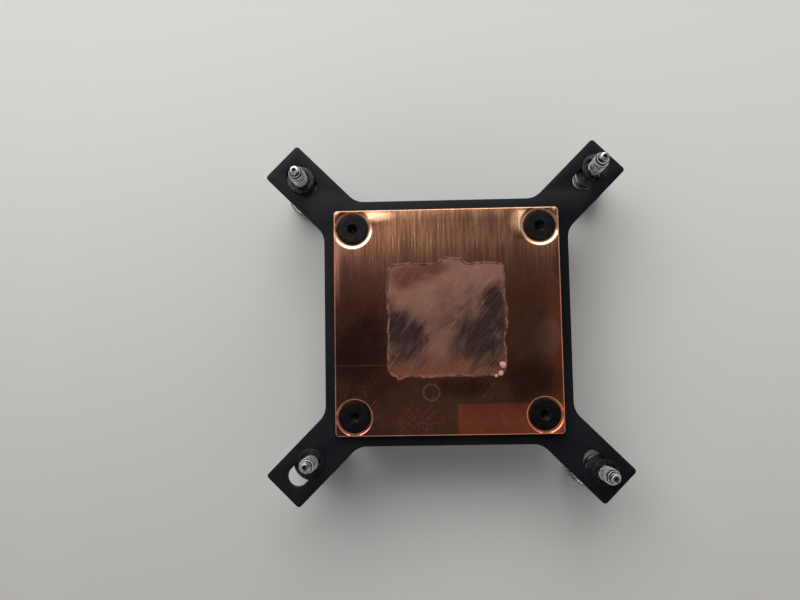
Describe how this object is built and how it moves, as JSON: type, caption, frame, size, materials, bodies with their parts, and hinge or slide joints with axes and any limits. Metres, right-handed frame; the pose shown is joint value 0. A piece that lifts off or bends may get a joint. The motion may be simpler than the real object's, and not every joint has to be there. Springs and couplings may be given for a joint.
{
  "type": "liquid cooling cold plate",
  "caption": "Square liquid cooling block with a polished copper cold face, held by a black four-armed bracket whose slots carry captive, spring-loaded thumb screws.",
  "frame": {"origin": "middle of the block on the plane of its port side, which it stands on", "axes": "+Z out of the copper cold face; +X runs from the inlet port to the outlet port; +X +Y is the corner of screw 1"},
  "size_m": [0.0958, 0.0958, 0.038],
  "materials": {
    "bracket_coat": "satin black coating on sheet steel",
    "copper": "polished bare copper with fine scratches",
    "cover_plastic": "machined black acetal",
    "steel_sheet": "rolled stainless sheet",
    "seal_rubber": "moulded rubber",
    "blackened_screw": "black oxide",
    "plated_screw": "turned and nickel plated",
    "spring_wire": "drawn spring steel",
    "washer_steel": "dull zinc grey",
    "clip_steel": "blackened spring steel"
  },
  "bodies": {
    "block": {"mounting_bracket": "bracket_coat", "base_plate": "copper", "top_cover": "cover_plastic", "jet_plate": "steel_sheet", "main_seal": "seal_rubber"},
    "slider_1": {"washer_1": "washer_steel", "spring_1": "spring_wire"},
    "clip_1": {"retaining_clip_1": "clip_steel"},
    "screw_1": {"thumb_screw_1": "plated_screw"},
    "slider_2": {"washer_2": "washer_steel", "spring_2": "spring_wire"},
    "clip_2": {"retaining_clip_2": "clip_steel"},
    "screw_2": {"thumb_screw_2": "plated_screw"},
    "slider_3": {"washer_3": "washer_steel", "spring_3": "spring_wire"},
    "clip_3": {"retaining_clip_3": "clip_steel"},
    "screw_3": {"thumb_screw_3": "plated_screw"},
    "slider_4": {"washer_4": "washer_steel", "spring_4": "spring_wire"},
    "clip_4": {"retaining_clip_4": "clip_steel"},
    "screw_4": {"thumb_screw_4": "plated_screw"}
  },
  "joints": [
    {"name": "slide_1", "type": "slide", "parent": "block", "child": "slider_1", "axis": [0.7071, 0.7071, 0], "range_m": [-0.0056, 0]},
    {"name": "plunge_1", "type": "slide", "parent": "slider_1", "child": "clip_1", "axis": [0, 0, 1], "range_m": [0, 0.006], "stiffness_N_per_m": 7500, "springref_m": -0.002, "deforming": ["spring_1"]},
    {"name": "spin_1", "type": "hinge", "parent": "clip_1", "child": "screw_1", "pos_m": [0.04038, 0.04038, 0.026], "axis": [0, 0, 1], "continuous": true},
    {"name": "slide_2", "type": "slide", "parent": "block", "child": "slider_2", "axis": [-0.7071, 0.7071, 0], "range_m": [-0.0032, 0.0024]},
    {"name": "plunge_2", "type": "slide", "parent": "slider_2", "child": "clip_2", "axis": [0, 0, 1], "range_m": [0, 0.006], "stiffness_N_per_m": 7500, "springref_m": -0.002, "deforming": ["spring_2"]},
    {"name": "spin_2", "type": "hinge", "parent": "clip_2", "child": "screw_2", "pos_m": [-0.03868, 0.03868, 0.026], "axis": [0, 0, 1], "continuous": true},
    {"name": "slide_3", "type": "slide", "parent": "block", "child": "slider_3", "axis": [-0.7071, -0.7071, 0], "range_m": [0, 0.0056]},
    {"name": "plunge_3", "type": "slide", "parent": "slider_3", "child": "clip_3", "axis": [0, 0, 1], "range_m": [0, 0.006], "stiffness_N_per_m": 7500, "springref_m": -0.002, "deforming": ["spring_3"]},
    {"name": "spin_3", "type": "hinge", "parent": "clip_3", "child": "screw_3", "pos_m": [-0.03642, -0.03642, 0.026], "axis": [0, 0, 1], "continuous": true},
    {"name": "slide_4", "type": "slide", "parent": "block", "child": "slider_4", "axis": [0.7071, -0.7071, 0], "range_m": [-0.0052, 0.0004]},
    {"name": "plunge_4", "type": "slide", "parent": "slider_4", "child": "clip_4", "axis": [0, 0, 1], "range_m": [0, 0.006], "stiffness_N_per_m": 7500, "springref_m": -0.002, "deforming": ["spring_4"]},
    {"name": "spin_4", "type": "hinge", "parent": "clip_4", "child": "screw_4", "pos_m": [0.04009, -0.04009, 0.026], "axis": [0, 0, 1], "continuous": true}
  ]
}
